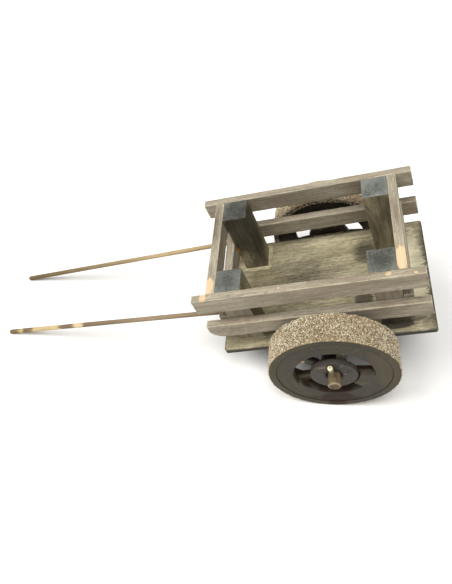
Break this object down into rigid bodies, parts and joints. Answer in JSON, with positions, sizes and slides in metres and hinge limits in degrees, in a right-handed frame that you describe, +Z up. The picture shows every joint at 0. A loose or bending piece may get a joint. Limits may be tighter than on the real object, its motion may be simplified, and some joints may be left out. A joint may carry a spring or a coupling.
{
  "type": "mine cart",
  "caption": "Small two-wheeled wooden mine cart with an open slatted box on corner posts, grit-covered wheels on a wooden axle with linchpins, and two slim pull shafts.",
  "frame": {"origin": "on the ground, under the middle of the cart's length and width, with the cart standing on its wheels and shaft tips", "axes": "+Z up; -X forwards, along the pull shafts; +X to the tail; the axle lies along Y, with the cart's left side at -Y"},
  "size_m": [0.5348, 0.266, 0.2196],
  "materials": {
    "weathered_boards": "grey-brown weathered stain, worn pale at the edges",
    "bed_board": "yellowish grey board with dark painted edges",
    "slate_painted_posts": "thin slate-grey paint, scuffed",
    "dowel_shafts": "stained dowel, darker towards the tip",
    "axle_dowel": "plain dowel, stained",
    "axle_blocks": "sawn wood, stained",
    "grit_tread": "wooden ring coated with coarse sand grit",
    "dark_wheel_wood": "dark olive stain, scratched",
    "hub_wood": "dark purple-grey stain, scuffed",
    "pin_dowel": "bare pale dowel"
  },
  "bodies": {
    "cart": {"bed": "bed_board", "post_front_left": "slate_painted_posts", "post_front_right": "slate_painted_posts", "post_rear_left": "slate_painted_posts", "post_rear_right": "slate_painted_posts", "upper_rail_left": "weathered_boards", "upper_rail_right": "weathered_boards", "lower_rail_left": "weathered_boards", "lower_rail_right": "weathered_boards", "upper_board_front": "weathered_boards", "upper_board_rear": "weathered_boards", "lower_board_front": "weathered_boards", "lower_board_rear": "weathered_boards", "shaft_left": "dowel_shafts", "shaft_right": "dowel_shafts", "axle": "axle_dowel", "axle_block_left": "axle_blocks", "axle_block_right": "axle_blocks"},
    "wheel_left": {"tyre_left": "grit_tread", "wheel_disc_left": "dark_wheel_wood", "hub_plate_left": "hub_wood"},
    "wheel_right": {"tyre_right": "grit_tread", "wheel_disc_right": "dark_wheel_wood", "hub_plate_right": "hub_wood"},
    "pin_left": {"linchpin_left": "pin_dowel"},
    "pin_right": {"linchpin_right": "pin_dowel"}
  },
  "joints": [
    {"name": "wheel_left_spin", "type": "hinge", "parent": "cart", "child": "wheel_left", "pos_m": [0.15511, 0, 0.0755], "axis": [0, 1, 0], "continuous": true},
    {"name": "wheel_right_spin", "type": "hinge", "parent": "cart", "child": "wheel_right", "pos_m": [0.15511, 0, 0.0755], "axis": [0, 1, 0], "continuous": true},
    {"name": "linchpin_left_lift", "type": "slide", "parent": "cart", "child": "pin_left", "axis": [-0.2956, 0, 0.9553], "range_m": [0, 0.03]},
    {"name": "linchpin_right_lift", "type": "slide", "parent": "cart", "child": "pin_right", "axis": [-0.2956, 0, 0.9553], "range_m": [0, 0.03]}
  ]
}
